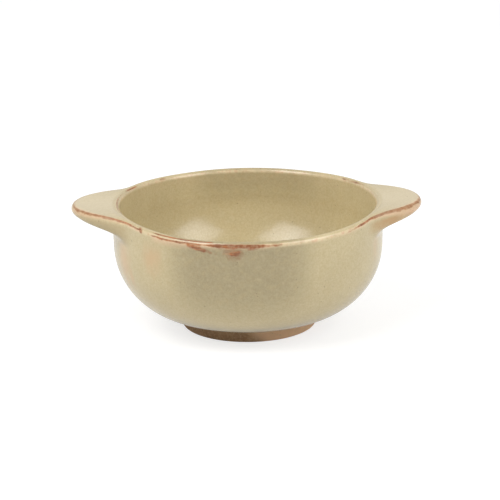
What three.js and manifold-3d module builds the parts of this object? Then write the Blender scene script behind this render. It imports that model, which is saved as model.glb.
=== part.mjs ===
// A bouillon cup in glazed stoneware: a round bowl on a foot ring, a flat lug on each side of
// the rim to lift it by, and a coat of glaze inside and out.
// Millimetres, +Z up. The origin is on the table under the middle of the cup. The lugs lie along X.

import * as THREE from "three";
import { mergeVertices } from "three/addons/utils/BufferGeometryUtils.js";
import Module from "manifold-3d";

// Bowl, measured over the glaze
const RIM_DIAMETER = 127;
const CUP_HEIGHT = 58;
const LIP_THICKNESS = 3.6; // the lip is a full round
const WALL_FLARE = 0.4; // the rim stands this far outside the shoulder
const WALL_THICKNESS = 4.4; // at the shoulder
const BELLY_RADIUS = 34; // the outer curve from the shoulder to the underside
const INNER_BELLY_RADIUS = 34;
const FLOOR_THICKNESS = 5.5;

// Foot ring
const FOOT_DIAMETER = 63;
const FOOT_HEIGHT = 6.8; // up to the clay underside of the bowl
const FOOT_WIDTH = 5;
const FOOT_CHAMFER = 0.8;

// Lugs
const LUG_REACH = 19.3; // from the rim to the tip
const LUG_END = 31.3; // degrees off the lug's axis where its flare has sunk into the rim
const LUG_SQUARENESS = 2.2; // of the outline: a higher one gives a squarer tip
const LUG_POWER = 2.6; // and a higher one gives a longer, hollower flare
const LUG_STEP = 0.15; // the root's top stands this far above the rim
const LUG_RISE = 0.7; // and the tip's top this far
const LUG_ROOT_THICKNESS = 7.9;
const LUG_TIP_THICKNESS = 4.1;
const LUG_EDGE_ROUND = 2; // plan width of the rounding along the edge
const LUG_TANG = 6; // how far the uncut lug runs into the bowl
const LUG_START = 60; // degrees round the lip, from the outside, where a lug's top begins

// Rise of the rim towards the lugs, which were pressed on while the clay was soft
const RIM_LIFT = 1.35;
const LIFT_START = 67; // degrees off the lugs' axis where the rise begins
const LIFT_FULL = 18; // and where it is complete
const LIFT_LEVEL = 30; // height from which the wall takes part in it

// Glaze and joints
const GLAZE_THICKNESS = 0.5;
const JOINT_GAP = 0.3; // between clay and glaze, and in each luted joint

// Steps of the curves
const TURN_STEPS = 48;
const BELLY_STEPS = 8;
const LIP_STEPS = 4;
const LUG_STEPS = 20;
const TOP_STEPS = 4;
const EDGE_STEPS = 3;
const EDGE_TURN = 75; // degrees of the edge's rounding on either side

// Derived sizes. Insets are measured inwards from the glazed surface.
const CLAY_INSET = GLAZE_THICKNESS + JOINT_GAP;
const RIM_RADIUS = RIM_DIAMETER / 2;
const LIP_RADIUS = LIP_THICKNESS / 2;
const CREST_RADIUS = RIM_RADIUS - LIP_RADIUS;
const FOOT_RADIUS = FOOT_DIAMETER / 2;
const UNDERSIDE = FOOT_HEIGHT - CLAY_INSET; // level where the glazed belly turns flat
const FLOOR = UNDERSIDE + FLOOR_THICKNESS;
const SHOULDER_RADIUS = RIM_RADIUS - WALL_FLARE;
const INNER_SHOULDER_RADIUS = SHOULDER_RADIUS - WALL_THICKNESS;
const LIP_CENTRE = new THREE.Vector2(CREST_RADIUS, CUP_HEIGHT - LIP_RADIUS);
const BELLY_CENTRE = new THREE.Vector2(
  SHOULDER_RADIUS - BELLY_RADIUS,
  UNDERSIDE + BELLY_RADIUS,
);
const INNER_BELLY_CENTRE = new THREE.Vector2(
  INNER_SHOULDER_RADIUS - INNER_BELLY_RADIUS,
  FLOOR + INNER_BELLY_RADIUS,
);

const wasm = await Module();
wasm.setup();

const radians = THREE.MathUtils.degToRad;
const degrees = THREE.MathUtils.radToDeg;

// Points on a circle in the (radius, height) plane, angles in degrees from the outward direction.
function arc(centre, radius, from, to, steps) {
  return Array.from({ length: steps + 1 }, (_, i) => {
    const angle = radians(from + ((to - from) * i) / steps);
    const along = new THREE.Vector2(Math.cos(angle), Math.sin(angle));
    return along.multiplyScalar(radius).add(centre);
  });
}

// The outside of the bowl from the belly up to the lip.
function outside(inset, bellyFrom, lipTo) {
  return [
    ...arc(BELLY_CENTRE, BELLY_RADIUS - inset, bellyFrom, 0, BELLY_STEPS),
    ...arc(LIP_CENTRE, LIP_RADIUS - inset, 0, lipTo, LIP_STEPS),
  ];
}

// The inside of the bowl from the lip down to the middle of the floor.
function inside(inset, lipFrom) {
  return [
    ...arc(LIP_CENTRE, LIP_RADIUS - inset, lipFrom, 180, LIP_STEPS),
    ...arc(INNER_BELLY_CENTRE, INNER_BELLY_RADIUS + inset, 0, -90, BELLY_STEPS),
    new THREE.Vector2(0, FLOOR - inset),
  ];
}

// Lip angle at which the two coats stop short of each other, half a gap from the crest.
function seam(inset) {
  return degrees(Math.asin(JOINT_GAP / 2 / (LIP_RADIUS - inset)));
}

// Belly angle at which the outer coat stops short of the foot ring.
function coatEnd(inset) {
  const reach = FOOT_RADIUS + JOINT_GAP - BELLY_CENTRE.x;
  return -degrees(Math.acos(reach / (BELLY_RADIUS - inset)));
}

// A profile turned about the upright axis.
function turn(points) {
  return new THREE.LatheGeometry(points, TURN_STEPS).rotateX(Math.PI / 2);
}

// The bowl filled up to beyond its mouth, to cut the lugs and their glaze to its wall.
function filledBowl(inset) {
  const top = CUP_HEIGHT + LUG_RISE + LUG_ROOT_THICKNESS;
  const side = outside(inset, -90, LUG_START);
  return turn([
    new THREE.Vector2(0, UNDERSIDE + inset),
    ...side,
    new THREE.Vector2(side.at(-1).x, top),
    new THREE.Vector2(0, top),
  ]);
}

// Share of the lug's reach at an angle off its axis, falling to nothing where the flare ends.
function lugShare(angle) {
  return Math.max(0, 1 - Math.abs(angle / LUG_END) ** LUG_SQUARENESS) ** LUG_POWER;
}

// An uncut lug along +X: a box with steps, bent into the lug. Across the box runs the angle, along
// it the way out to the rounded edge, and up it the thickness, which thins to the tip and the flares.
function lugPlate(inset) {
  const steps = TOP_STEPS + EDGE_STEPS;
  const plate = new THREE.BoxGeometry(steps, 2, 2, steps, LUG_STEPS, 1);
  const at = plate.attributes.position;
  const tang = RIM_RADIUS - LUG_TANG;
  for (let i = 0; i < at.count; i++) {
    const angle = LUG_END * at.getY(i);
    const share = lugShare(angle);
    const flare = (1 - share) ** 8; // 0 on the axis and 1 where the flare ends
    const edge = RIM_RADIUS - CLAY_INSET + (LUG_REACH + CLAY_INSET) * share - inset;
    const step = at.getX(i) + steps / 2;
    const round = (EDGE_TURN * Math.max(0, step - TOP_STEPS)) / EDGE_STEPS;
    const bent = Math.sin(radians(round)) / Math.sin(radians(EDGE_TURN));
    const flat = edge - LUG_EDGE_ROUND - tang;
    const radius = tang + flat * Math.min(1, step / TOP_STEPS) + LUG_EDGE_ROUND * bent;
    const out = (radius - RIM_RADIUS) / LUG_REACH;
    const level = CUP_HEIGHT + LUG_STEP + (LUG_RISE - LUG_STEP) * out;
    const top = level - (LUG_STEP + LIP_RADIUS) * flare;
    const full = LUG_ROOT_THICKNESS - (LUG_ROOT_THICKNESS - LUG_TIP_THICKNESS) * out;
    const thick = full - (LUG_ROOT_THICKNESS - LIP_THICKNESS) * flare;
    const half = (thick / 2 - inset) * Math.cos(radians(round));
    const x = radius * Math.cos(radians(angle));
    const y = radius * Math.sin(radians(angle));
    at.setXYZ(i, x, y, top - thick / 2 + half * at.getZ(i));
  }
  return plate;
}

// A geometry as a solid that can be cut and joined.
function solid(geometry) {
  const bare = geometry.clone();
  bare.deleteAttribute("normal");
  bare.deleteAttribute("uv");
  const merged = mergeVertices(bare, 1e-3);
  return new wasm.Manifold(
    new wasm.Mesh({
      numProp: 3,
      vertProperties: merged.attributes.position.array,
      triVerts: new Uint32Array(merged.index.array),
    }),
  );
}

// A solid back as a geometry.
function geometryOf(made) {
  const mesh = made.getMesh();
  const geometry = new THREE.BufferGeometry();
  geometry.setAttribute("position", new THREE.BufferAttribute(mesh.vertProperties, 3));
  geometry.setIndex(new THREE.BufferAttribute(mesh.triVerts, 1));
  geometry.computeVertexNormals();
  return geometry;
}

// A finished geometry with the rise of the rim worked into it.
function lifted(geometry) {
  const at = geometry.attributes.position;
  for (let i = 0; i < at.count; i++) {
    const off = degrees(Math.atan2(Math.abs(at.getY(i)), Math.abs(at.getX(i))));
    const near = 1 - THREE.MathUtils.smoothstep(off, LIFT_FULL, LIFT_START);
    const high = THREE.MathUtils.smoothstep(at.getZ(i), LIFT_LEVEL, CUP_HEIGHT);
    at.setZ(i, at.getZ(i) + RIM_LIFT * near * high);
  }
  geometry.computeVertexNormals();
  return geometry;
}

function bowlBody() {
  return turn([
    new THREE.Vector2(0, FOOT_HEIGHT),
    ...outside(CLAY_INSET, -90, 90),
    ...inside(CLAY_INSET, 90).slice(1),
  ]);
}

function footRing() {
  const inner = FOOT_RADIUS - FOOT_WIDTH;
  return turn([
    new THREE.Vector2(inner, FOOT_HEIGHT),
    new THREE.Vector2(inner, FOOT_CHAMFER),
    new THREE.Vector2(inner + FOOT_CHAMFER, 0),
    new THREE.Vector2(FOOT_RADIUS - FOOT_CHAMFER, 0),
    new THREE.Vector2(FOOT_RADIUS, FOOT_CHAMFER),
    new THREE.Vector2(FOOT_RADIUS, FOOT_HEIGHT),
    new THREE.Vector2(inner, FOOT_HEIGHT),
  ]);
}

function lug() {
  const wall = solid(filledBowl(GLAZE_THICKNESS));
  return geometryOf(solid(lugPlate(CLAY_INSET)).subtract(wall));
}

// The coat inside: the inner surface, and back along its own underside.
function linerGlaze() {
  const back = inside(GLAZE_THICKNESS, 90 + seam(GLAZE_THICKNESS));
  const front = inside(0, 90 + seam(0));
  return turn([...back.reverse(), ...front]);
}

// The coat outside: down the wall from the crest to the foot, and over both lugs.
function outerGlaze() {
  const front = outside(0, coatEnd(0), 90 - seam(0));
  const back = outside(
    GLAZE_THICKNESS,
    coatEnd(GLAZE_THICKNESS),
    90 - seam(GLAZE_THICKNESS),
  );
  const wall = solid(filledBowl(GLAZE_THICKNESS / 2));
  let coat = solid(turn([...front, ...back.reverse(), front[0]]));
  for (const side of [0, Math.PI]) {
    coat = coat.add(solid(lugPlate(0).rotateZ(side)).subtract(wall));
    coat = coat.subtract(solid(lugPlate(GLAZE_THICKNESS).rotateZ(side)));
  }
  return geometryOf(coat);
}

const group = new THREE.Group();

function add(name, geometry, color, roughness) {
  const material = new THREE.MeshStandardMaterial({ color, roughness });
  const mesh = new THREE.Mesh(lifted(geometry), material);
  mesh.name = name;
  group.add(mesh);
  return mesh;
}

const CLAY = [0x9a6a46, 0.85];
const GLAZE = [0xbfae86, 0.3];

add("bowl_body", bowlBody(), ...CLAY);
add("foot_ring", footRing(), ...CLAY);
add("right_lug", lug(), ...CLAY);
add("left_lug", lug(), ...CLAY).rotation.z = Math.PI;
add("liner_glaze", linerGlaze(), ...GLAZE);
add("outer_glaze", outerGlaze(), ...GLAZE);

export default group;
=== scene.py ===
# %% [markdown]
# # A bouillon cup in glazed stoneware
#
# This lesson dresses a small soup cup: a round bowl on a foot ring, with a flat lug on each side of
# the rim to lift it by. The solids of its construction come first, as a fixed frame in metres. On top
# of them goes what the eye sees: a satin coat of sand-coloured glaze that breaks to rust where it
# thins on the edges, and bare clay on the foot.

# %% Load the construction
import math

import bmesh
import bpy
import numpy as np
from mathutils import Matrix, Vector


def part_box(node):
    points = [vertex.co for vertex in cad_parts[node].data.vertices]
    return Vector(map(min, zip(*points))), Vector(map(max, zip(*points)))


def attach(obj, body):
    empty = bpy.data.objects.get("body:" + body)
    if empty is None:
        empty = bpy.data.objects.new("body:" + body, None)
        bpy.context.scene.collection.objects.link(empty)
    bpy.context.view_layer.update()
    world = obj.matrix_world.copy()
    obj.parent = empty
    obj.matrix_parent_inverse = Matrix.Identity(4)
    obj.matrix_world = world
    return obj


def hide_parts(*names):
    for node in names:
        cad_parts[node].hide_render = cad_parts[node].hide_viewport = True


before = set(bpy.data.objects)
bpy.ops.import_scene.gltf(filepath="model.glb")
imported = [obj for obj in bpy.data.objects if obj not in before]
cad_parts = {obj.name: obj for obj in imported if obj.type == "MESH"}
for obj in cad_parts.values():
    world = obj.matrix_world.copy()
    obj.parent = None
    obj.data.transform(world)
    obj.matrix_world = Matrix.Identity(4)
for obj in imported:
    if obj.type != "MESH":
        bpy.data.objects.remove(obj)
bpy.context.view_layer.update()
print("nodes of the construction:", ", ".join(sorted(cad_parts)))

# %% [markdown]
# ## The main sizes
#
# A potter turns the cup on a wheel, so one half section tells nearly all of it. Drawn freely, it would
# drift from the construction. So the sizes that a node's box shows are read from that box, and the
# rest are noted here in millimetres.

# %% Read the sizes
MM = 0.001


def box_in_mm(node):
    low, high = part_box(node)
    return low / MM, high / MM


coat_high = box_in_mm("outer_glaze")[1]
liner_low = box_in_mm("liner_glaze")[0]
body_low = box_in_mm("bowl_body")[0]
foot_high = box_in_mm("foot_ring")[1]

SPARE, TIP_SPARE = 0.1, 0.5  # kept free inside the box, for the unevenness of hand work
GLAZE_THICKNESS = 0.5
RIM_RADIUS = coat_high.y - SPARE
TIP_RADIUS = coat_high.x - TIP_SPARE
RIM_HEIGHT = 58.0
LIP_HALF_WIDTH, LIP_ROUND = 1.8, 2.45  # the lip is a half oval, higher than it is wide
WALL_FLARE = 0.4
WALL_THICKNESS = 4.4
BELLY_RADIUS = 34.0
COAT_LEVEL = body_low.z - 0.8  # where the glazed belly would turn flat
FLOOR_LEVEL = liner_low.z + GLAZE_THICKNESS
FOOT_RADIUS = foot_high.x
FOOT_WIDTH = 5.0

LIP_OVAL = np.array([LIP_HALF_WIDTH, LIP_ROUND])
LIP_CENTRE = (RIM_RADIUS - LIP_HALF_WIDTH, RIM_HEIGHT - LIP_ROUND)
BELLY_CENTRE = (RIM_RADIUS - WALL_FLARE - BELLY_RADIUS, COAT_LEVEL + BELLY_RADIUS)
INNER_SHOULDER = RIM_RADIUS - WALL_FLARE - WALL_THICKNESS
INNER_CENTRE = (INNER_SHOULDER - BELLY_RADIUS, FLOOR_LEVEL + BELLY_RADIUS)
print(f"rim {2 * RIM_RADIUS:.1f} mm across, {2 * TIP_RADIUS:.1f} mm over the lugs")

# %% [markdown]
# ## Lines of a section
#
# A section is a row of points in the plane of radius and height: arcs, lines, and for a lug a smooth
# curve through a few chosen points. Each helper leaves out its last point, so that stretches can
# follow each other without doubles.


# %% Arcs, lines and free curves
def arc(centre, radius, start, end, count):
    """Part of a circle, or of an oval if the radius is a pair."""
    turn_angles = np.radians(np.linspace(start, end, count, endpoint=False))
    return centre + radius * np.column_stack([np.cos(turn_angles), np.sin(turn_angles)])


def line(start, end, count):
    return np.linspace(start, end, count, endpoint=False)


def free_curve(points, marks, counts):
    """A smooth curve through the points, with a set count of steps between each two marked ones."""
    points = np.array(points)
    lengths = np.linalg.norm(np.diff(points, axis=0), axis=1)
    knots = np.append(0.0, np.cumsum(lengths))
    slopes = np.gradient(points, knots, axis=0)
    spans = zip(marks, marks[1:], counts)
    along = np.concatenate(
        [np.linspace(knots[a], knots[b], count, endpoint=False) for a, b, count in spans]
    )
    i = np.clip(np.searchsorted(knots, along, side="right") - 1, 0, len(points) - 2)
    width = lengths[i][:, None]
    s = (along - knots[i])[:, None] / width
    return (
        (2 * s**3 - 3 * s**2 + 1) * points[i]
        + (s**3 - 2 * s**2 + s) * width * slopes[i]
        + (3 * s**2 - 2 * s**3) * points[i + 1]
        + (s**3 - s**2) * width * slopes[i + 1]
    )


def set_back(points, depth):
    """The same line moved to its right-hand side by the depth."""
    along = np.gradient(points, axis=0)
    along /= np.linalg.norm(along, axis=1)[:, None]
    return points + depth * np.column_stack([along[:, 1], -along[:, 0]])


print("quarter of the lip:", arc(LIP_CENTRE, LIP_OVAL, 90, 0, 3).round(1).tolist())

# %% [markdown]
# ## The section of the outer coat, beside the lugs and through one
#
# The glaze runs from the crest of the lip down the wall and round the belly to the foot. At a lug it
# first runs out over the lug's top, round its edge and back along the underside. Both sections have
# the same stretches with the same count of points, so the cup between them is a mix of the two: the
# flare of a lug into the rim comes by itself.

# %% Draw the two outer sections
TOP, EDGE, SIDE, UNDER, WALL, BELLY = STRETCHES = (34, 12, 8, 30, 8, 40)
STARTS = np.cumsum((0,) + STRETCHES)
LIP_BREAK = 40  # degrees on the lip, from the outside, where its top turns into its edge
SIDE_LEVEL, UNDER_LEVEL, LUG_FOOT_LEVEL = LIP_CENTRE[1], 50.4, 45.0
GLAZE_STOP = FOOT_RADIUS + 0.3  # the radius where the glaze ends, just outside the foot
COAT_END = -math.degrees(math.acos((GLAZE_STOP - BELLY_CENTRE[0]) / BELLY_RADIUS))


def wall_point(level):
    share = (level - BELLY_CENTRE[1]) / (LIP_CENTRE[1] - BELLY_CENTRE[1])
    return RIM_RADIUS - WALL_FLARE * (1 - share), level


lower_wall = [
    line(wall_point(LUG_FOOT_LEVEL), wall_point(BELLY_CENTRE[1]), WALL),
    arc(BELLY_CENTRE, BELLY_RADIUS, 0, COAT_END, BELLY),
]
plain_coat = np.concatenate(
    [
        arc(LIP_CENTRE, LIP_OVAL, 90, LIP_BREAK, TOP),
        arc(LIP_CENTRE, LIP_OVAL, LIP_BREAK, 0, EDGE),
        line(wall_point(SIDE_LEVEL), wall_point(UNDER_LEVEL), SIDE),
        line(wall_point(UNDER_LEVEL), wall_point(LUG_FOOT_LEVEL), UNDER),
        *lower_wall,
    ]
)

REACH_DIFFERENCE = 0.028  # the left lug is this share longer than drawn, and the right one shorter
LUG_TIP = RIM_RADIUS + (TIP_RADIUS - RIM_RADIUS) / (1 + REACH_DIFFERENCE)
lug_points = [
    # the top, from the lip outwards
    (LIP_CENTRE[0], RIM_HEIGHT), (62.1, 57.8), (62.6, 57.85), (63.4, 58.0),
    (65.0, 58.15), (70.0, 58.3), (75.0, 58.45), (LUG_TIP - 2.4, 58.5),
    # round the edge
    (LUG_TIP - 1.2, 58.25), (LUG_TIP - 0.35, 57.5), (LUG_TIP, 56.4),
    (LUG_TIP - 0.35, 55.2), (LUG_TIP - 1.4, 54.4),
    # the underside, back to the wall
    (78.0, 53.8), (74.0, 53.2), (70.0, 52.3), (66.8, 51.0),
    (64.9, 49.4), (63.6, 47.4), wall_point(LUG_FOOT_LEVEL),
]
LUG_BREAKS = (0, 7, 10, 12, 19)  # the points between which its four stretches run
lug_outline = free_curve(lug_points, LUG_BREAKS, (TOP, EDGE, SIDE, UNDER))
lug_coat = np.concatenate([lug_outline, *lower_wall])
print(f"each outer section has {len(plain_coat)} points; the glaze ends {-COAT_END:.0f} degrees down")

# %% [markdown]
# ## Numbers along a section
#
# A rust-breaking glaze goes brown where it runs thin, on a sharp edge or in a wiped groove, and stays
# pale where it pools on a flat top. These places follow the section, not the world. So each point of
# a section carries a few numbers, from 0 to about 1, that the material reads later, and the number of
# its row. One more serves the shape: where "rise" is 1, the flare of a lug comes up early.

# %% Give the points their marks
GLAZE_MARKS = ("row", "second", "lip", "top", "side")
MARKS = GLAZE_MARKS + ("rise",)


def marked(count, **places):
    """Each mark as a list along the section, even between the (point, amount) pairs of its place."""
    rows = np.arange(count)
    marks = {name: np.zeros(count) for name in MARKS}
    for name, pairs in places.items():
        at, amount = zip(*pairs)
        marks[name] = np.interp(rows, at, amount)
    return marks


crest, edge, side, under, wall, _, coat_end = STARTS
rise = [(edge + 4, 1), (side, 0)]
every_row = [(crest, crest), (coat_end, coat_end)]
plain_marks = marked(
    len(plain_coat),
    row=every_row,
    second=[(14, 0), (18, 1.1), (28, 1.1), (edge - 2, 0)],
    # lip: pale glaze on the crest, and a painted highlight along the lip's outer shoulder, from row edge
    # to edge + 11
    lip=[(crest, 0.1), (edge - 8, 0.1), (edge, 0.9), (edge + 7, 1), (edge + 11, 0.5), (side + 1, 0)],
    side=[(side, 0), (side + 2, 0.8), (under - 2, 0.7), (under + 8, 0)],
    rise=rise,
)
lug_marks = marked(
    len(lug_coat),
    row=every_row,
    lip=[(0, 0.5), (2, 0)],
    top=[(1, 0), (4, 1), (edge + 1, 1), (edge + 4, 0)],
    side=[(edge + 6, 0), (edge + 11, 0.9), (side, 1), (under, 0.8), (under + 12, 0)],
    rise=rise,
)
print("marks:", ", ".join(MARKS))

# %% [markdown]
# ## Closed sections for every piece
#
# A coat without a back would show its inner side in an exported model. So its section runs along the
# front, and back again half a millimetre behind it with fewer points. All sections run round the same
# way, so that the turned faces point outwards.

# %% Close the sections
BACK_STEP = 4  # the unseen back keeps one point in so many
INNER_LIP, INNER_WALL, INNER_BELLY, INNER_FLOOR = 14, 8, 52, 12  # points in each stretch inside


def backed(front, marks):
    """The front from its end to its start, then the back from start to end, with marks to match."""
    keep = np.arange(1, len(front) - 1, BACK_STEP)
    behind = set_back(front, GLAZE_THICKNESS)[keep]
    loop = np.concatenate([front[::-1], behind, front[-1:]])
    order = np.concatenate([np.arange(len(front))[::-1], keep, [len(front) - 1]])
    return loop, {name: amount[order] for name, amount in marks.items()}


inner_lip_end = (LIP_CENTRE[0] - LIP_HALF_WIDTH, LIP_CENTRE[1])
liner = np.concatenate(
    [
        arc(LIP_CENTRE, LIP_OVAL, 90, 180, INNER_LIP),
        line(inner_lip_end, (INNER_SHOULDER, INNER_CENTRE[1]), INNER_WALL),
        arc(INNER_CENTRE, BELLY_RADIUS, 0, -90, INNER_BELLY),
        line((INNER_CENTRE[0], FLOOR_LEVEL), (0, FLOOR_LEVEL), INNER_FLOOR),
        [(0, FLOOR_LEVEL)],
    ]
)
liner_behind = set_back(liner, -GLAZE_THICKNESS)[1:-1:BACK_STEP][::-1]
liner_loop = np.concatenate([[(0, FLOOR_LEVEL - GLAZE_THICKNESS)], liner_behind, liner])
liner_crest = len(liner_behind) + 1
LAST_ROW = -TOP * 90 / (90 - LIP_BREAK)  # inside, the rows go on below 0, as close as on the top
liner_marks = marked(
    len(liner_loop),
    row=[(liner_crest - 1, LAST_ROW), (liner_crest, 0), (liner_crest + INNER_LIP, LAST_ROW)],
    # inside, the lip mark is mostly a painted highlight along the lip's inner shoulder, rows crest + 8
    # to crest + 10
    lip=[(liner_crest - 1, 0), (liner_crest, 0.1), (liner_crest + 5, 0.2), (liner_crest + 8, 1)]
    + [(liner_crest + 10, 0.8), (liner_crest + 13, 0.2), (liner_crest + 18, 0)],
)
plain_loop, plain_loop_marks = backed(plain_coat, plain_marks)
lug_loop, lug_loop_marks = backed(lug_coat, lug_marks)
print(f"outer loop {len(plain_loop)} points, inner loop {len(liner_loop)} points")

# %% [markdown]
# ## Bare clay: the body behind the glaze, and the foot
#
# Only the underside of the body shows. A cup is trimmed upside down, so its underside keeps the fine
# rings of the tool and a small dimple in the middle. The foot ring is wiped clean of glaze, with its
# edges softened by a wet sponge.

# %% Draw the clay sections
CLAY_INSET = 0.8
RING_PITCH = 2.9
RING_DEPTH = 0.14
RINGS_END, RINGS_FADE = 36, 30  # the radius where the rings would end, and the length in which they fade
DIMPLE_RADIUS, DIMPLE_DEPTH = 3.2, 0.5
UNDERSIDE = body_low.z
TRIMMED_OFF = 0.25  # keeps the rings above the underside of the construction


def trimmed(radius):
    """Level of the trimmed underside: shallow rings that fade outwards, and a dimple in the middle."""
    fading = np.clip((RINGS_END - radius) / RINGS_FADE, 0, 1)
    rings = RING_DEPTH * np.cos(2 * np.pi * radius / RING_PITCH) * fading
    dimple = DIMPLE_DEPTH * np.exp(-((radius / DIMPLE_RADIUS) ** 2))
    return UNDERSIDE + TRIMMED_OFF + rings + dimple


underside_radius = np.linspace(0, FOOT_RADIUS - FOOT_WIDTH / 2, 110)
clay_loop = np.concatenate(
    [
        np.column_stack([underside_radius, trimmed(underside_radius)]),
        arc(BELLY_CENTRE, BELLY_RADIUS - CLAY_INSET, -80, 0, 14),
        arc(LIP_CENTRE, LIP_OVAL - CLAY_INSET, 0, 180, 9),
        arc(INNER_CENTRE, BELLY_RADIUS + CLAY_INSET, 0, -90, 14),
        [(0, FLOOR_LEVEL - CLAY_INSET)],
    ]
)

FOOT_ROUND = 1.3
FOOT_TAPER = 0.1
FLARE, INNER_DROP, OUTER_DROP = 0.6, 0.9, 1.6  # the ring flares at its top, from so far under the body
SUNK = 0.5  # and its inner top reaches this far into the body
foot_inner = FOOT_RADIUS - FOOT_WIDTH
foot_neck = FOOT_RADIUS - FOOT_TAPER
inner_top, outer_top = (foot_inner - FLARE, UNDERSIDE + SUNK), (foot_neck + FLARE, UNDERSIDE)
foot_loop = np.concatenate(
    [
        line(inner_top, (foot_inner, UNDERSIDE - INNER_DROP), 6),
        line((foot_inner, UNDERSIDE - INNER_DROP), (foot_inner, FOOT_ROUND), 8),
        arc((foot_inner + FOOT_ROUND, FOOT_ROUND), FOOT_ROUND, 180, 270, 9),
        line((foot_inner + FOOT_ROUND, 0), (FOOT_RADIUS - FOOT_ROUND, 0), 6),
        arc((FOOT_RADIUS - FOOT_ROUND, FOOT_ROUND), FOOT_ROUND, -90, 0, 9),
        line((FOOT_RADIUS, FOOT_ROUND), (foot_neck, UNDERSIDE - OUTER_DROP), 10),
        line((foot_neck, UNDERSIDE - OUTER_DROP), outer_top, 6),
        [outer_top, inner_top],
    ]
)
print(f"clay loop {len(clay_loop)} points, foot loop {len(foot_loop)} points")

# %% [markdown]
# ## A workbench for nodes
#
# Trees of nodes are long in a script. A small class keeps them short: each call adds one node, and any
# input takes a plain value or another node's output. It serves the geometry and the materials.


# %% The workbench
class Workbench:
    """Adds nodes to one tree."""

    def __init__(self, tree):
        self.tree = tree

    def feed(self, socket, value):
        if isinstance(value, bpy.types.NodeSocket):
            self.tree.links.new(value, socket)
        else:
            socket.default_value = value

    def node(self, kind, inputs=None, **settings):
        made = self.tree.nodes.new(kind)
        for name, value in settings.items():
            setattr(made, name, value)
        for name, value in (inputs or {}).items():
            self.feed(made.inputs[name], value)
        return made

    def calc(self, operation, *values):
        made = self.node("ShaderNodeMath", dict(enumerate(values)), operation=operation)
        return made.outputs[0]

    def plus(self, first, second):
        return self.calc("ADD", first, second)

    def minus(self, first, second):
        return self.calc("SUBTRACT", first, second)

    def product(self, first, *others):
        for other in others:
            first = self.calc("MULTIPLY", first, other)
        return first

    def vector(self, operation, *values):
        made = self.node("ShaderNodeVectorMath", dict(enumerate(values)), operation=operation)
        return made.outputs["Vector"]

    def ease(self, value, low, high, start=0.0, end=1.0):
        """A soft step from start to end while the value goes from low to high."""
        inputs = {"Value": value, "From Min": low, "From Max": high, "To Min": start, "To Max": end}
        made = self.node("ShaderNodeMapRange", inputs, interpolation_type="SMOOTHSTEP")
        return made.outputs["Result"]

    def noise(self, place, size, detail=2.0, roughness=0.5, output="Fac"):
        """Noise whose lumps are about the size, in millimetres."""
        inputs = {"Vector": place, "Scale": 1 / (size * MM), "Detail": detail, "Roughness": roughness}
        return self.node("ShaderNodeTexNoise", inputs, noise_dimensions="3D").outputs[output]


print("the workbench is ready")

# %% [markdown]
# ## Turning a section with Geometry Nodes
#
# A wheel turns one section into a cup, and a Screw modifier could do that. Here the section changes on
# the way round, from the plain wall to the lug and back. So a flat grid is bent round the axis: its
# rows are the points of the section, and each column mixes the two sections by its angle. Hand work
# adds two rules: the rim rises a little towards the lugs, where they were pressed on, and nothing is
# perfectly even.

# %% Build the turning tree
LUG_INPUTS = ("Lug end", "Lug squareness", "Lug power", "Reach difference")
HAND_INPUTS = ("Rim lift", "Lift start", "Lift full", "Unevenness")
TURNING_INPUTS = {
    "Object": ("Plain section", "Lug section"),
    "Int": ("Turn steps", "Section points"),
    "Float": LUG_INPUTS + HAND_INPUTS,
    "Material": ("Finish",),
}
CROWDING = -0.3  # brings the columns closer together at the lugs
LIFT_FROM, LIFT_TO = 30 * MM, RIM_HEIGHT * MM
LUMP_SIZE = 26.0
WELD = 0.002 * MM  # points closer than this become one
SHARP_ANGLE = math.radians(50)

turning = bpy.data.node_groups.new("Turned section", "GeometryNodeTree")
for kind, labels in TURNING_INPUTS.items():
    for label in labels:
        turning.interface.new_socket(name=label, in_out="INPUT", socket_type="NodeSocket" + kind)
turning.interface.new_socket(name="Piece", in_out="OUTPUT", socket_type="NodeSocketGeometry")
bench = Workbench(turning)
given = bench.node("NodeGroupInput").outputs
columns = bench.plus(given["Turn steps"], 1)
grid = bench.node(
    "GeometryNodeMeshGrid",
    {"Size X": 1.0, "Size Y": 1.0, "Vertices X": columns, "Vertices Y": given["Section points"]},
)
position = bench.node("GeometryNodeInputPosition").outputs[0]
place = bench.node("ShaderNodeSeparateXYZ", {0: position}).outputs
even_angle = bench.product(place["X"], math.tau)
crowd = bench.product(bench.calc("SINE", bench.product(even_angle, 2)), CROWDING)
angle = bench.plus(even_angle, crowd)
cosine, sine = bench.calc("COSINE", angle), bench.calc("SINE", angle)
last_row = bench.minus(given["Section points"], 1)
row = bench.calc("ROUND", bench.product(bench.plus(place["Y"], 0.5), last_row))

off_axis = bench.calc("DEGREES", bench.calc("ARCSINE", bench.calc("ABSOLUTE", sine)))
off_share = bench.calc("DIVIDE", off_axis, given["Lug end"])
off_share = bench.calc("POWER", off_share, given["Lug squareness"])
near_lug = bench.calc("MAXIMUM", bench.minus(1, off_share), 0)
even_share = bench.calc("POWER", near_lug, given["Lug power"])
reach = bench.minus(1, bench.product(cosine, given["Reach difference"]))
lug_share = bench.product(even_share, reach)
early_share = bench.product(lug_share, bench.minus(2, lug_share))
print("the tree has", len(turning.nodes), "nodes so far")

# %% [markdown]
# The second half of the tree reads the two sections at each row, mixes them, and sets the points in
# their places round the axis. The marks of the glaze are mixed in the same way and stored on the mesh.


# %% Finish the turning tree
def read_sections(field, data_type):
    """The field at this row on the plain section and on the lug section."""
    found = []
    for label in ("Plain section", "Lug section"):
        shape = bench.node("GeometryNodeObjectInfo", {"Object": given[label]}).outputs["Geometry"]
        inputs = {"Geometry": shape, "Value": field, "Index": row}
        read = bench.node("GeometryNodeSampleIndex", inputs, data_type=data_type, domain="POINT")
        found.append(read.outputs["Value"])
    return found


def mixed(on_plain, on_lug, share):
    change = bench.product(bench.minus(on_lug, on_plain), share)
    return bench.plus(on_plain, change)


def mark_of(name):
    return bench.node("GeometryNodeInputNamedAttribute", {"Name": name}, data_type="FLOAT").outputs[0]


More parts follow.
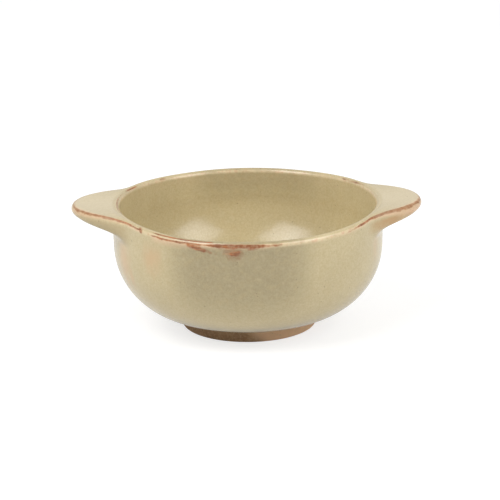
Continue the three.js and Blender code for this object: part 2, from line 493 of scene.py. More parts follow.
def then(shape, step, inputs, **settings):
    """The shape after one more step of the tree."""
    return bench.node("GeometryNode" + step, {0: shape, **inputs}, **settings).outputs[0]


shape = grid.outputs["Mesh"]
for name in GLAZE_MARKS:
    amount = mixed(*read_sections(mark_of(name), "FLOAT"), lug_share)
    inputs = {"Name": name, "Value": amount}
    shape = then(shape, "StoreNamedAttribute", inputs, data_type="FLOAT", domain="POINT")

spots = read_sections(position, "FLOAT_VECTOR")
plain_spot, lug_spot = [bench.node("ShaderNodeSeparateXYZ", {0: spot}).outputs for spot in spots]
rising = read_sections(mark_of("rise"), "FLOAT")[0]
radius = mixed(plain_spot["X"], lug_spot["X"], lug_share)
level = mixed(plain_spot["Z"], lug_spot["Z"], mixed(lug_share, early_share, rising))
lift = bench.ease(off_axis, given["Lift full"], given["Lift start"], given["Rim lift"], 0.0)
lift = bench.product(lift, bench.ease(level, LIFT_FROM, LIFT_TO))
turned = bench.node(
    "ShaderNodeCombineXYZ",
    {
        "X": bench.product(radius, cosine),
        "Y": bench.product(radius, sine),
        "Z": bench.plus(level, lift),
    },
).outputs[0]
lumps = bench.vector("SUBTRACT", bench.noise(turned, LUMP_SIZE, output="Color"), (0.5, 0.5, 0.5))
inputs = {0: lumps, "Scale": given["Unevenness"]}
push = bench.node("ShaderNodeVectorMath", inputs, operation="SCALE").outputs["Vector"]
placed = bench.vector("ADD", turned, push)
shape = then(shape, "SetPosition", {"Position": placed})
shape = then(shape, "MergeByDistance", {"Distance": WELD})
shape = then(shape, "SetShadeSmooth", {"Shade Smooth": True}, domain="FACE")
bend = bench.node("GeometryNodeInputMeshEdgeAngle").outputs["Unsigned Angle"]
sharp = bench.calc("GREATER_THAN", bend, SHARP_ANGLE)
shape = then(shape, "SetShadeSmooth", {"Selection": sharp, "Shade Smooth": False}, domain="EDGE")
shape = then(shape, "RealizeInstances", {})
shape = then(shape, "SetMaterial", {"Material": given["Finish"]})
bench.node("NodeGroupOutput", {"Piece": shape})
print("the finished tree has", len(turning.nodes), "nodes")

# %% [markdown]
# ## Running the tree
#
# Each section becomes a small helper object whose points carry the marks. The tree runs as a modifier
# on an empty mesh; its result is kept as a plain mesh, and the modifier and the helpers go away.


# %% Helpers that turn a piece
LUG_RULE = {
    "Lug end": 31.3,
    "Lug squareness": 2.2,
    "Lug power": 2.6,
    "Reach difference": REACH_DIFFERENCE,
    "Rim lift": 1.35 * MM,
    "Lift start": 67.0,
    "Lift full": 18.0,
}


def added(name, data):
    """A new object in the scene."""
    made = bpy.data.objects.new(name, data)
    bpy.context.collection.objects.link(made)
    return made


def section_object(name, points, marks):
    mesh = bpy.data.meshes.new(name)
    mesh.from_pydata([(radius * MM, 0, level * MM) for radius, level in points], [], [])
    for label, amount in marks.items():
        mesh.attributes.new(label, "FLOAT", "POINT").data.foreach_set("value", amount)
    return added(name, mesh)


def turn(name, finish, steps, unevenness, plain, lug=None):
    """Turns a (points, marks) section, or two that are mixed, into a closed piece."""
    plain_helper = section_object(name + "_plain", *plain)
    lug_helper = section_object(name + "_lug", *(lug or plain))
    piece = added(name, bpy.data.meshes.new(name))
    modifier = piece.modifiers.new("Turning", "NODES")
    modifier.node_group = turning
    values = {
        "Plain section": plain_helper,
        "Lug section": lug_helper,
        "Turn steps": steps,
        "Section points": len(plain[0]),
        "Unevenness": unevenness * MM,
        "Finish": finish,
        **LUG_RULE,
    }
    for item in turning.interface.items_tree:
        if item.in_out == "INPUT":
            modifier[item.identifier] = values[item.name]
    evaluated = piece.evaluated_get(bpy.context.evaluated_depsgraph_get())
    mesh = bpy.data.meshes.new_from_object(evaluated)
    piece.modifiers.clear()
    piece.data = mesh
    for helper in (plain_helper, lug_helper):
        bpy.data.meshes.remove(helper.data)
    return piece


def measure(piece):
    """Prints a piece's size, and its volume, which is positive if its faces point outwards."""
    body = bmesh.new()
    body.from_mesh(piece.data)
    volume = body.calc_volume(signed=True) / MM**3
    open_edges = sum(not each.is_manifold for each in body.edges)
    body.free()
    size = " x ".join(f"{length / MM:.1f}" for length in piece.dimensions)
    faces = len(piece.data.polygons)
    print(f"{piece.name}: {size} mm, {volume:.0f} mm3, {faces} faces, {open_edges} open edges")


print("a lug ends", LUG_RULE["Lug end"], "degrees off the axis")

# %% [markdown]
# ## The four turned pieces
#
# Both coats get many steps, because the eye follows their outline; the hidden clay needs fewer. Only
# the coats are uneven, so that the clay stays behind them. The materials get their colours later.

# %% Turn the pieces
glaze_outside = bpy.data.materials.new("sand_glaze_outside")
glaze_inside = bpy.data.materials.new("sand_glaze_inside")
bare_clay = bpy.data.materials.new("bare_clay")

COAT_STEPS, BODY_STEPS, FOOT_STEPS = 400, 180, 240
UNEVEN, EVEN = 0.12, 0.0
plain_section, lug_section = (plain_loop, plain_loop_marks), (lug_loop, lug_loop_marks)
outer_coat = turn("outer_coat", glaze_outside, COAT_STEPS, UNEVEN, plain_section, lug_section)
inner_coat = turn("inner_coat", glaze_inside, COAT_STEPS, UNEVEN, (liner_loop, liner_marks))
clay_body = turn("clay_body", bare_clay, BODY_STEPS, EVEN, (clay_loop, marked(len(clay_loop))))
clay_foot = turn("clay_foot", bare_clay, FOOT_STEPS, EVEN, (foot_loop, marked(len(foot_loop))))
for piece in (outer_coat, inner_coat, clay_body, clay_foot):
    measure(piece)

# %% [markdown]
# ## The clay of the lugs
#
# The glaze hides the lugs' clay, but a model that is taken apart shows it. The construction draws both
# lugs alike, and the real ones differ a little in length. So each is a copy of its solid, drawn in
# towards the rim until the glaze covers it all round.


# %% Draw the clay lugs in
LEFT_SHARE, RIGHT_SHARE = 0.96, 0.9
SOLID_WELD = 0.005 * MM


def clay_lug(name, node, share):
    """A copy of a lug's solid, with what stands out beyond the rim shortened to the share."""
    body = bmesh.new()
    body.from_mesh(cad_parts[node].data)
    bmesh.ops.remove_doubles(body, verts=body.verts, dist=SOLID_WELD)
    for corner in body.verts:
        radius = corner.co.xy.length
        beyond = max(0.0, radius - RIM_RADIUS * MM)
        corner.co.xy *= 1 - (1 - share) * beyond / radius
    piece = added(name, bpy.data.meshes.new(name))
    body.to_mesh(piece.data)
    body.free()
    piece.data.materials.clear()
    piece.data.materials.append(bare_clay)
    return piece


clay_lug_left = clay_lug("clay_lug_left", "left_lug", LEFT_SHARE)
clay_lug_right = clay_lug("clay_lug_right", "right_lug", RIGHT_SHARE)
for piece in (clay_lug_left, clay_lug_right):
    measure(piece)

# %% [markdown]
# ## Colours and simple mixes
#
# Colours are noted as on a screen, from 0 to 255, and turned into the linear values that Blender works
# with. A material here is a chain of mixes: a ground colour, and layer by layer what lies on it.


# %% Colour helpers
def colour(red, green, blue):
    def linear(part):
        share = part / 255
        return share / 12.92 if share <= 0.04045 else ((share + 0.055) / 1.055) ** 2.4

    return linear(red), linear(green), linear(blue), 1.0


class FinishBench(Workbench):
    """A workbench for a material, with its shader and output in place."""

    def __init__(self, material):
        material.use_nodes = True
        super().__init__(material.node_tree)
        self.tree.nodes.clear()
        self.shader = self.node("ShaderNodeBsdfPrincipled")
        self.node("ShaderNodeOutputMaterial", {"Surface": self.shader.outputs[0]})
        self.place = self.node("ShaderNodeTexCoord").outputs["Object"]

    def mix(self, share, under, over, blend="MIX"):
        inputs = {0: share, 6: under, 7: over}
        made = self.node("ShaderNodeMix", inputs, data_type="RGBA", blend_type=blend)
        return made.outputs[2]

    def bump(self, height, strength, depth):
        inputs = {"Height": height, "Strength": strength, "Distance": depth * MM}
        return self.node("ShaderNodeBump", inputs).outputs[0]

    def finish(self, inputs):
        for name, value in inputs.items():
            self.feed(self.shader.inputs[name], value)

    def mark(self, name):
        return self.node("ShaderNodeAttribute", attribute_name=name).outputs["Fac"]

    def stretched(self, x, y, z):
        return self.vector("MULTIPLY", self.place, (x, y, z))

    def specks(self, size, share, radius):
        """Round dots in some cells of a grid of the size, in millimetres: 1 in a dot, 0 between."""
        inputs = {"Vector": self.place, "Scale": 1 / (size * MM)}
        cells = self.node("ShaderNodeTexVoronoi", inputs, feature="F1")
        chance = self.node("ShaderNodeSeparateColor", {0: cells.outputs["Color"]}).outputs
        reach = self.product(self.ease(chance["Red"], 0.0, 1.0, 0.5, 1.0), radius / size)
        dot = self.ease(self.calc("DIVIDE", cells.outputs["Distance"], reach), 0.6, 1.1, 1.0, 0.0)
        return self.product(dot, self.calc("LESS_THAN", chance["Green"], share))


print("128 of 255 is", round(colour(128, 128, 128)[0], 3), "as a linear value")

# %% [markdown]
# ## The glaze
#
# The ground is an even sand, a little olive in places, partly as painted shade, with a fine grain of
# ochre and cream and dark specks of iron. The wall is warmer where the coat is thin. On the lip the
# glaze is pale and warm, with painted highlights along it, and along the edges it breaks to rust, more
# or less strongly, and has run in places: that comes from the way the cup was dipped and wiped. A
# painted image could show it too, but it would blur from close by. Noises and curves stay sharp, and
# each strength can be changed by hand.

# %% Colours of the glaze
SAND, OLIVE, OCHRE = colour(205, 190, 150), colour(166, 153, 119), colour(194, 174, 130)
CREAM, IVORY, PEACH = colour(231, 216, 187), colour(232, 212, 174), colour(226, 190, 156)
RUST, DARK_RUST, LUG_RUST = colour(178, 110, 64), colour(134, 80, 46), colour(166, 120, 78)
WARM, TAN, IRON = colour(204, 172, 131), colour(190, 147, 100), colour(112, 92, 68)
print("sand is", [round(part, 3) for part in SAND[:3]], "in linear values")

# %% [markdown]
# ## Where the rust lies
#
# Degrees count round the cup from the right lug, negative ones along the front and positive ones along
# the far side. What is alike at both lugs goes by degrees off the axis through them instead, and
# heights on the coat go by the section's rows.

# %% Note the places
RUST_ROUND = [  # degrees, and how strongly the edge breaks to rust there
    # the left lug and the front of the rim
    (-180, 0.6), (-172, 0.85), (-156, 1.05), (-150, 0.85), (-144, 0.8), (-140, 0.35), (-136.5, 0.4),
    (-132, 0.9), (-118, 0.9), (-110, 0.85), (-104, 1.15), (-98, 1.5), (-92, 1.38), (-87, 1.1),
    (-82, 0.65), (-74, 0.4), (-60, 0.25), (-46, 0.5), (-40, 0.6),
    # the right lug
    (-36, 1.0), (-32, 0.95), (-26, 1.2), (-19, 1.2), (-8, 1.0), (4, 0.6), (18, 0.45), (36, 0.5),
    # the far side, back to the left lug
    (50, 0.4), (62, 0.5), (76, 0.75), (84, 0.4), (98, 0.5), (110, 1.0), (120, 0.6), (133, 0.65),
    (144, 0.4), (165, 0.6), (180, 0.6),
]
RUST_LINE = [  # degrees off the axis, and the row that the line of rust follows
    (0, edge + 6), (8, edge + 4.4), (13.6, edge + 2.8), (17.3, edge + 0.4), (21.6, edge - 0.8),
    (31, edge - 0.4), (37, edge + 2.5), (46, edge + 7), (60, edge + 6.5), (76, edge + 4.8),
    (90, edge + 5),
]
LINE_WIDTHS = [  # degrees off the axis, and the rows to either side in which a line of strength 1 fades
    (0, 4.6), (12, 5.5), (19, 8), (31, 8), (38, 6), (60, 5.5), (72, 7.5), (90, 9),
]
SECOND_MIDDLE, SECOND_HALF = -120.5, 17  # degrees: where a second line of rust runs along the lip
SECOND_FULL = 0.7  # the share of it that has its full strength
GROOVE_ROUND = [  # degrees, and how strongly the groove along the root of a lug is stained
    (-180, 0.85), (-172, 0.7), (-160, 0.2), (-150, 0.0),
    (-30, 0.0), (-12, 0.3), (12, 0.3), (22, 0.4), (30, 0.6), (38, 0.5), (45, 0.1),
    (126, 0.0), (131, 0.65), (136, 0.0), (143, 0.0), (148, 0.45), (153, 0.9), (158, 0.8), (163, 0.4),
    (172, 0.7), (180, 0.85),
]
GROOVE_FLARE = (14, 32)  # degrees off the axis between which the groove runs out on to the lip
GROOVE_ROWS, GROOVE_WIDTHS = (-12, -28), (9, 12)  # its row, and the rows it fills, at those two places
# Places on the wall: degrees, level, half length and half height in millimetres, degrees of tilt, and
# the strength.
RUST_RUNS = [
    (-113.2, 54.9, 7.8, 1.3, -14, 1.0),
    (-96.9, 53.1, 2.8, 1.8, 12, 1.0),
    (-97.6, 53.4, 5.0, 3.9, 0, 0.45),
    (-142.5, 57.6, 1.7, 1.2, -20, 1.0),
]
WARM_PATCHES = [
    (-157.0, 40.0, 6.5, 14.0, 0, 0.75),
    (-136.0, 45.5, 6.5, 9.0, 0, 0.75),
    (-151.5, 33.0, 2.5, 5.5, 0, 0.65),
    (-23.0, 44.0, 4.0, 9.0, 0, 0.45),
]
print(len(RUST_ROUND), "steps of rust round the rim,", len(RUST_RUNS), "runs on the wall")

# %% [markdown]
# ## A workbench for the glaze
#
# Several layers need the same numbers: where a point lies on the cup, and the noises that make edges
# ragged. This workbench works them out once, and turns the tables above into curves and patches.

# %% The workbench of the glaze
PATCH_SIZE, RAGGED_SIZE = 7, 1.8  # of the lumps in the noises, in millimetres
STREAKS_STRETCH = (0.3, 0.3, 2.0)  # makes lumps long and low, as streaks along the rim
EDGE_STRETCH, EDGE_DEPTH = (1.2, 1.2, 0.8), 1.2  # for the ragged edge of a place on the wall


class GlazeBench(FinishBench):
    """Knows where a point lies on the cup, and holds the noises that the layers share."""

    def __init__(self, material):
        super().__init__(material)
        parts = self.node("ShaderNodeSeparateXYZ", {0: self.place}).outputs
        self.level = parts["Z"]
        self.degrees = self.calc("DEGREES", self.calc("ARCTAN2", parts["Y"], parts["X"]))
        self.from_right = self.calc("ABSOLUTE", self.degrees)
        towards_lug = self.calc("ABSOLUTE", self.calc("COSINE", self.calc("RADIANS", self.degrees)))
        self.off_axis = self.calc("DEGREES", self.calc("ARCCOSINE", towards_lug))
        self.row = self.mark("row")
        self.breaking = self.through(self.degrees, RUST_ROUND)
        self.below_line = self.minus(self.row, self.through(self.off_axis, RUST_LINE))
        self.patchy = self.noise(self.place, PATCH_SIZE, 4, 0.6)
        self.ragged = self.noise(self.place, RAGGED_SIZE, 2)
        self.streaks = self.noise(self.stretched(*STREAKS_STRETCH), RAGGED_SIZE, 3)

    def through(self, value, pairs):
        """A smooth curve through (value, result) pairs."""
        low, high = pairs[0][0], pairs[-1][0]
        most = max(result for _, result in pairs)
        inputs = {"Value": value, "From Min": low, "From Max": high}
        share = self.node("ShaderNodeMapRange", inputs).outputs[0]
        curve = self.node("ShaderNodeFloatCurve", {"Value": share})
        points = curve.mapping.curves[0].points
        for at, result in pairs[1:-1]:
            points.new((at - low) / (high - low), result / most)
        points[0].location = (0, pairs[0][1] / most)
        points[len(points) - 1].location = (1, pairs[-1][1] / most)
        curve.mapping.update()
        return self.product(curve.outputs[0], most)

    def on_the_wall(self, places, softness, lumps):
        """The strength inside the places, and 0 outside; their edges have lumps of that size."""
        ragged = self.noise(self.stretched(*EDGE_STRETCH), lumps, 3)
        ragged = self.product(self.minus(ragged, 0.5), EDGE_DEPTH)
        total = 0.0
        for at, height, half_length, half_height, tilt, strength in places:
            along = self.product(self.minus(self.degrees, at), math.radians(RIM_RADIUS))
            up = self.minus(self.calc("DIVIDE", self.level, MM), height)
            up = self.minus(up, self.product(along, math.tan(math.radians(tilt))))
            across = self.calc("POWER", self.calc("DIVIDE", along, half_length), 2)
            down = self.calc("POWER", self.calc("DIVIDE", up, half_height), 2)
            far = self.plus(self.calc("SQRT", self.plus(across, down)), ragged)
            inside = self.ease(far, 1 - softness, 1 + softness / 3, strength, 0.0)
            total = self.calc("MAXIMUM", total, inside)
        return total

    def broken(self, amount, tearing):
        """The amount broken up into streaks, with edges torn by a second noise."""
        torn = self.plus(self.product(self.streaks, 1.1), self.product(tearing, 0.4))
        kept = self.ease(self.plus(amount, self.minus(torn, 0.75)), 0.3, 0.9)
        return self.product(kept, self.ease(amount, 0.02, 0.2))


print("lumps of", RAGGED_SIZE, "mm make the edges ragged")

# %% [markdown]
# ## The ground
#
# Sand turns olive in broad clouds. Midway between the lugs and down at the foot more olive is mixed in,
# as painted shade. Three finer noises give it its grain.

# %% Mix the ground
BROAD_SIZE, MOTTLE_SIZE, PALE_SIZE, GRAIN_SIZE = 34, 3.5, 1.6, 0.8
SHADE_TURN = 6  # degrees by which the darkest painted shade stands off the middle between the lugs
SHADE_SINES = (0.79, 0.97)  # sines of the degrees where the painted shade starts, and where it is full
FOOT_SHADE_ROWS = (coat_end - 20, coat_end - 9)  # the rows where the painted shade in olive starts towards the foot, and is full


def ground_of(bench, olive, olive_from, olive_to):
    """The ground; olive is the share of painted shade between the lugs, and comes up between the two
    levels.
    """
    broad = bench.ease(bench.noise(bench.place, BROAD_SIZE, 2), 0.35, 0.65, 0.0, 0.18)
    # painted shade: olive midway between the lugs, rising between the two levels
    turned = bench.calc("RADIANS", bench.plus(bench.degrees, SHADE_TURN))
    between = bench.ease(bench.calc("ABSOLUTE", bench.calc("SINE", turned)), *SHADE_SINES, 0.0, olive)
    between = bench.product(between, bench.ease(bench.level, olive_from * MM, olive_to * MM))
    ground = bench.mix(bench.calc("MAXIMUM", broad, between), SAND, OLIVE)
    mottle = bench.noise(bench.place, MOTTLE_SIZE, 4, 0.65)
    ground = bench.mix(bench.ease(mottle, 0.4, 0.75, 0.0, 0.3), ground, OCHRE)
    pale = bench.noise(bench.place, PALE_SIZE, 3, 0.6)
    ground = bench.mix(bench.ease(pale, 0.5, 0.8, 0.0, 0.2), ground, CREAM)
    grain = bench.noise(bench.place, GRAIN_SIZE, 2)
    ground = bench.mix(bench.ease(grain, 0.3, 0.7, 0.0, 0.22), ground, OCHRE, "MULTIPLY")
    # painted shade: olive towards the foot, at the bottom of the belly
    return bench.mix(bench.ease(bench.row, *FOOT_SHADE_ROWS), ground, OLIVE)


print(f"olive towards the foot from row {FOOT_SHADE_ROWS[0]} of {coat_end}")

# %% [markdown]
# ## The lip and the lugs
#
# The marks on the mesh say where a point belongs to the lip, to the flat top of a lug or to its side.
# The lip is ivory and peach, pale glaze with painted highlights along it, and the tops are cream. The
# right lug is tan on its side, and rusty towards its tip; the left one is paler, with painted shade in
# olive below.

# %% Warm the lip and the lugs
LUG_FADE = (21, 33)  # degrees off the axis between which the colours of a lug fade out
TIP_FADE = (4, 12)  # and those of its tip
HANDS = (60, 120)  # degrees from the right lug between which the right side becomes the left one
SHADE_ROWS = (edge + 8, under - 1)  # rows between which the painted shade in olive below the left lug comes up
SHADE_END_ROWS = (wall - 12, wall)  # and goes again
PATCH_SOFTNESS, PATCH_LUMPS = 1.0, 5


def warmed(bench, tone, patches):
    """The tone with warm patches on the wall, and with the colours of the lip and the lugs."""
    tone = bench.mix(bench.on_the_wall(patches, PATCH_SOFTNESS, PATCH_LUMPS), tone, WARM)
    tone = bench.mix(bench.product(bench.mark("top"), 0.4), tone, CREAM)
    # the lip mark gives pale ivory and peach glaze, and painted highlights along the lip's shoulders
    lip = bench.product(bench.mark("lip"), bench.ease(bench.patchy, 0.3, 0.6, 0.35, 0.8))
    tone = bench.mix(lip, tone, bench.mix(bench.ease(bench.ragged, 0.45, 0.7), IVORY, PEACH))
    on_lug = bench.ease(bench.off_axis, *LUG_FADE, 1.0, 0.0)
    flank = bench.product(bench.mark("side"), bench.ease(bench.patchy, 0.25, 0.65, 0.6, 1.0), on_lug)
    flank = bench.product(flank, bench.ease(bench.from_right, *HANDS, 0.9, 0.3))
    tone = bench.mix(flank, tone, TAN)
    tip = bench.product(flank, bench.ease(bench.off_axis, *TIP_FADE, 0.7, 0.0))
    tone = bench.mix(tip, tone, LUG_RUST)
    # painted shade under the left lug
    shade = bench.product(bench.ease(bench.from_right, *HANDS, 0.0, 0.6), on_lug)
    shade = bench.product(shade, bench.ease(bench.row, *SHADE_ROWS))
    shade = bench.product(shade, bench.ease(bench.row, *SHADE_END_ROWS, 1.0, 0.0))
    return bench.mix(shade, tone, OLIVE)


print("the colours of a lug end", LUG_FADE[1], "degrees off the axis")

# %% [markdown]
# ## The rust
#
# A line of rust follows the edge all round and wanders a little. A second one runs along the lip in
# front, the grooves at the lugs are stained, and a few runs lie on the wall. Where the edge breaks
# strongly, a peach seam goes with the line: partly warm thin glaze, partly a painted highlight on the
# rounded edge. On the right lug the painted highlight makes it wider.

# %% Break the edges to rust
WANDER_SIZE, WANDER_ROWS = 4.5, 1.0
RUN_SOFTNESS, RUN_LUMPS = 0.5, 2.2
SEAM_START, SEAM_END = (-7, -2), (4, 10)  # rows off the line between which the seam comes up, and goes
RIGHT_LUG, HIGHLIGHT_WIDER_BY = (14, 31), 5  # degrees where the right lug fades out, and how many rows of painted highlight it adds
LUG_RUST_FADE = (16, 31)  # degrees off the axis between which the lugs' paler rust fades out


def rust_of(bench, runs):
    """How much rust lies at a point, from 0 to 1."""
    wander = bench.noise(bench.place, WANDER_SIZE, 2)
    wander = bench.ease(wander, 0.3, 0.7, -WANDER_ROWS, WANDER_ROWS)
    off_line = bench.plus(bench.below_line, wander)
    off_line = bench.calc("DIVIDE", off_line, bench.through(bench.off_axis, LINE_WIDTHS))
    first = bench.minus(bench.breaking, bench.calc("POWER", off_line, 2))
    first = bench.broken(first, bench.ragged)
    off_second = bench.calc("ABSOLUTE", bench.minus(bench.degrees, SECOND_MIDDLE))
    second = bench.ease(off_second, SECOND_FULL * SECOND_HALF, SECOND_HALF, 1.0, 0.0)
    second = bench.broken(bench.product(bench.mark("second"), second), bench.ragged)
    groove_row = bench.ease(bench.off_axis, *GROOVE_FLARE, *GROOVE_ROWS)
    off_groove = bench.calc("ABSOLUTE", bench.minus(bench.row, groove_row))
    groove_width = bench.ease(bench.off_axis, *GROOVE_FLARE, *GROOVE_WIDTHS)
    off_groove = bench.calc("DIVIDE", off_groove, groove_width)
    groove = bench.ease(off_groove, 0.5, 1.3, 1.0, 0.0)
    groove = bench.product(groove, bench.through(bench.degrees, GROOVE_ROUND))
    lines = bench.calc("MAXIMUM", first, second)
    lines = bench.calc("MAXIMUM", lines, bench.broken(groove, bench.patchy))
    return bench.calc("MAXIMUM", lines, bench.on_the_wall(runs, RUN_SOFTNESS, RUN_LUMPS))


def rusted(bench, tone, rust):
    """The tone with the peach seam along the line, partly warm glaze and partly painted highlight, and
    the rust on top.
    """
    # the seam is partly warm thin glaze and partly a painted highlight, widest under the line of the
    # right lug
    wider = bench.ease(bench.from_right, *RIGHT_LUG, HIGHLIGHT_WIDER_BY, 0)
    seam = bench.ease(bench.minus(bench.below_line, wider), *SEAM_END, 1.0, 0.0)
    seam = bench.product(seam, bench.ease(bench.below_line, *SEAM_START))
    seam = bench.product(seam, bench.ease(bench.breaking, 0.3, 1.0, 0.0, 0.6))
    tone = bench.mix(seam, tone, PEACH)
    darker = bench.plus(bench.product(bench.patchy, 0.5), bench.product(bench.streaks, 0.5))
    darker = bench.plus(darker, bench.ease(bench.breaking, 0.9, 1.3, 0.0, 0.06))
    rust_tone = bench.mix(bench.ease(darker, 0.4, 0.6), RUST, DARK_RUST)
    rust_tone = bench.mix(bench.ease(bench.off_axis, *LUG_RUST_FADE, 0.7, 0.0), rust_tone, LUG_RUST)
    cover = bench.product(rust, bench.ease(bench.ragged, 0.35, 0.6, 0.75, 0.95))
    return bench.mix(cover, tone, rust_tone)


print("the second line of rust is", 2 * SECOND_HALF, "degrees long")

# %% [markdown]
# ## All layers together
#
# Specks of iron come last. The gloss is that of a soft satin, a little rougher where the glaze is thin,
# with the faint orange-peel of a fired surface as a bump.

# %% Mix the glaze
LARGE_SPECKS, FINE_SPECKS = (3.0, 0.4, 0.4), (1.3, 0.25, 0.17)  # cell, share of the cells, radius
SATIN_SIZE = 9
PEEL_SIZE, PEEL_DEPTH = 1.7, 0.1


def mix_glaze(material, runs, patches, **ground):
    bench = GlazeBench(material)
    rust = rust_of(bench, runs)
    tone = warmed(bench, ground_of(bench, **ground), patches)
    tone = rusted(bench, tone, rust)
    dots = bench.calc("MAXIMUM", bench.specks(*LARGE_SPECKS), bench.specks(*FINE_SPECKS))
    tone = bench.mix(bench.product(dots, 0.4), tone, IRON)
    satin = bench.ease(bench.noise(bench.place, SATIN_SIZE, 3), 0.3, 0.7, 0.17, 0.23)
    satin = bench.plus(satin, bench.product(rust, 0.15))
    peel = bench.bump(bench.noise(bench.place, PEEL_SIZE, 2), 0.12, PEEL_DEPTH)
    bench.finish({"Base Color": tone, "Roughness": satin, "Normal": peel})


# olive, olive_from and olive_to set the painted shade between the lugs: its share, and the levels in
# millimetres where it comes up
mix_glaze(glaze_outside, RUST_RUNS, WARM_PATCHES, olive=0.97, olive_from=12, olive_to=42)
mix_glaze(glaze_inside, [], [], olive=0.7, olive_from=32, olive_to=56)
print("glaze nodes:", len(glaze_outside.node_tree.nodes))

# %% [markdown]
# ## The bare clay
#
# Stoneware without glaze is matt and warm brown, browner where the flame touched it, with pale and dark
# grains of grog and the fine lines of the trimming tool running round it. Across the foot it is painted
# darker on the left and lighter on the right, as shade and light.

# %% Mix the clay
TERRACOTTA, UMBER, PALE_GROG = colour(243, 202, 163), colour(167, 131, 97), colour(228, 198, 161)
FLAME_SIZE, DUST_SIZE, TOOLING_SIZE = 24, 1.1, 0.35
GROG_SPECKS = (1.7, 0.5, 0.3)
TOOLING_STRETCH = (0.05, 0.05, 1)  # makes lumps into lines that run round the foot
CLAY_ROUGHNESS, CLAY_RELIEF = 0.85, 0.15

bench = FinishBench(bare_clay)
flame = bench.noise(bench.place, FLAME_SIZE, 3)
# painted shade and light: the clay turns from umber on the left to a light terracotta on the right
sideways = bench.node("ShaderNodeSeparateXYZ", {0: bench.place}).outputs["X"]
flame = bench.plus(flame, bench.ease(sideways, -FOOT_RADIUS * MM, FOOT_RADIUS * MM, -0.25, 0.25))
tone = bench.mix(bench.ease(flame, 0.35, 0.62), UMBER, TERRACOTTA)
dust = bench.noise(bench.place, DUST_SIZE, 4, 0.7)
tone = bench.mix(bench.ease(dust, 0.4, 0.75, 0.0, 0.5), tone, PALE_GROG)
tone = bench.mix(bench.product(bench.specks(*GROG_SPECKS), 0.6), tone, IRON)
tooling = bench.noise(bench.stretched(*TOOLING_STRETCH), TOOLING_SIZE, 2)
relief = bench.bump(bench.plus(bench.product(tooling, 0.5), dust), 0.6, CLAY_RELIEF)
bench.finish({"Base Color": tone, "Roughness": CLAY_ROUGHNESS, "Normal": relief})
print("clay nodes:", len(bare_clay.node_tree.nodes))

# %% [markdown]
# ## The table
#
# The cup stands on a white table. A plain white sheet would look grey in this light, so the camera sees
# it with a glow of its own, and so does the gloss for the most part. It still takes the cup's shadow.

# %% Lay the table
TABLE_SIZE = 6.0
TABLE_WHITE, SEEN_WHITE = 0.85, 0.4  # what lights the cup from below, and what the camera sees of it
SEEN_GLOW = 0.72  # and sees on top of that
MIRRORED_SHARE = 0.75  # how much of that white the gloss mirrors

bpy.ops.mesh.primitive_plane_add(size=TABLE_SIZE)
table = bpy.context.object
table.name = "table"
white = bpy.data.materials.new("white_table")
bench = FinishBench(white)
path = bench.node("ShaderNodeLightPath").outputs
mirrored = bench.product(path["Is Glossy Ray"], MIRRORED_SHARE)
seen = bench.calc("MAXIMUM", path["Is Camera Ray"], mirrored)
matt = {"Roughness": 1.0, "Specular IOR Level": 0.0}
lit = {"Emission Color": (1, 1, 1, 1), "Emission Strength": bench.product(seen, SEEN_GLOW)}
bench.finish({"Base Color": bench.ease(seen, 0, 1, TABLE_WHITE, SEEN_WHITE), **matt, **lit})
table.data.materials.append(white)
print("table", table.dimensions.x, "m wide")

# %% [markdown]
# ## The light
#
# A plain white sky lights the cup from all sides, less so from the camera's. Two soft boxes stand in
# front, one on either side, and their mirror images are the two bright patches inside the bowl. The
# cloth of a soft box is brightest in its middle, so each patch fades out softly.

# %% Light it
SKY_FRONT, SKY_BACK = 0.17, 0.61  # the sky's strength on the camera's side, and behind the cup
SKY_TURN = (-0.7, 0.5)  # from front to back, the part of the sky in which it changes
SOFT_BOXES = {  # degrees to the right of the camera, degrees up, degrees of roll, watts, side in metres
    "soft_box_left": (-52, 48, -8, 11.1, 0.86),
    "soft_box_right": (58, 37, 20, 8.1, 0.84),
}
BOX_DISTANCE = 1.3
MIDDLE_GLOW, CORNER_GLOW = 1.45, 0.72
GLOW_REACH = 0.65  # how far from the middle, as a share of the side, the glow gets to its least

world = bpy.data.worlds.new("studio")
bpy.context.scene.world = world
world.use_nodes = True
sky = Workbench(world.node_tree)
sky.tree.nodes.clear()
path = sky.node("ShaderNodeLightPath").outputs
direction = sky.node("ShaderNodeSeparateXYZ", {0: sky.node("ShaderNodeTexCoord").outputs["Generated"]})
strength = sky.ease(direction.outputs["Y"], *SKY_TURN, SKY_FRONT, SKY_BACK)
strength = sky.ease(path["Is Camera Ray"], 0, 1, strength, 1.0)
background = sky.node("ShaderNodeBackground", {"Color": (1, 1, 1, 1), "Strength": strength})
sky.node("ShaderNodeOutputWorld", {"Surface": background.outputs[0]})


def from_front(azimuth, elevation, distance):
    """A place at that distance from the cup, seen from the camera's side."""
    around, up = math.radians(azimuth), math.radians(elevation)
    level_with = Vector((math.sin(around), -math.cos(around), 0))
    return distance * (math.cos(up) * level_with + Vector((0, 0, math.sin(up))))


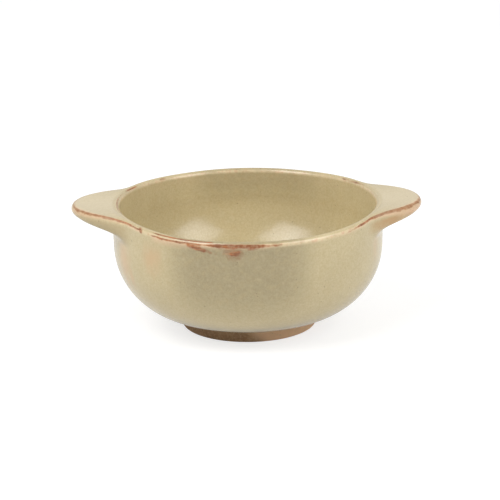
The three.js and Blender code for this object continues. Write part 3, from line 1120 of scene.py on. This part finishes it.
for name, (azimuth, elevation, box_roll, watts, box_side) in SOFT_BOXES.items():
    lamp = bpy.data.lights.new(name, "AREA")
    lamp.size = box_side
    lamp.energy = watts
    lamp.use_nodes = True
    cloth = Workbench(lamp.node_tree)
    cloth.tree.nodes.clear()
    across = cloth.node("ShaderNodeNewGeometry").outputs["Parametric"]
    off_middle = cloth.node("ShaderNodeVectorMath", {0: across, 1: (0.5, 0.5, 0)}, operation="DISTANCE")
    glow = cloth.ease(off_middle.outputs["Value"], 0, GLOW_REACH, MIDDLE_GLOW, CORNER_GLOW)
    emission = cloth.node("ShaderNodeEmission", {"Strength": glow})
    cloth.node("ShaderNodeOutputLight", {"Surface": emission.outputs[0]})
    holder = added(name, lamp)
    holder.location = from_front(azimuth, elevation, BOX_DISTANCE)
    facing = holder.location.to_track_quat("Z", "Y").to_matrix().to_4x4()
    holder.rotation_euler = (facing @ Matrix.Rotation(math.radians(box_roll), 4, "Z")).to_euler()
print(len(SOFT_BOXES), "soft boxes at", BOX_DISTANCE, "m")

# %% [markdown]
# ## The camera
#
# A long lens from a little above shows the rim as a slim oval, and hardly any perspective. The camera
# leans by less than one degree, as one held by hand would.

# %% Set up the camera
CAMERA_DISTANCE = 1.5
CAMERA_AZIMUTH = -1.54
CAMERA_ELEVATION = 17.19
CAMERA_ROLL = -0.81
CAMERA_LENS = 229.7
AIM = Vector((0.85, 2.1, 34.6)) * MM

camera = added("camera", bpy.data.cameras.new("camera"))
camera.data.lens = CAMERA_LENS
camera.data.clip_end = 20
tilt = Matrix.Rotation(math.radians(90 - CAMERA_ELEVATION), 4, "X")
roll = Matrix.Rotation(math.radians(CAMERA_ROLL), 4, "Z")
stand = Matrix.Translation(AIM + from_front(CAMERA_AZIMUTH, CAMERA_ELEVATION, CAMERA_DISTANCE))
around = Matrix.Rotation(math.radians(CAMERA_AZIMUTH), 4, "Z")
camera.matrix_world = stand @ around @ tilt @ roll
bpy.context.scene.camera = camera
bpy.context.scene.view_settings.view_transform = "Standard"
print("camera at", [round(part, 3) for part in camera.matrix_world.translation])

# %% [markdown]
# ## Tying the pieces to the body
#
# Each piece is tied to the cup's one body, and the solid that it stands for in the construction is
# hidden.

# %% Tie the pieces to the frame
HANDED_OVER = (
    (outer_coat, "outer_glaze", "glaze"),
    (inner_coat, "liner_glaze", "glaze"),
    (clay_body, "bowl_body", "clay"),
    (clay_foot, "foot_ring", "clay"),
    (clay_lug_left, "left_lug", "clay"),
    (clay_lug_right, "right_lug", "clay"),
)
for piece, node, finish in HANDED_OVER:
    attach(piece, "root")
    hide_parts(node)
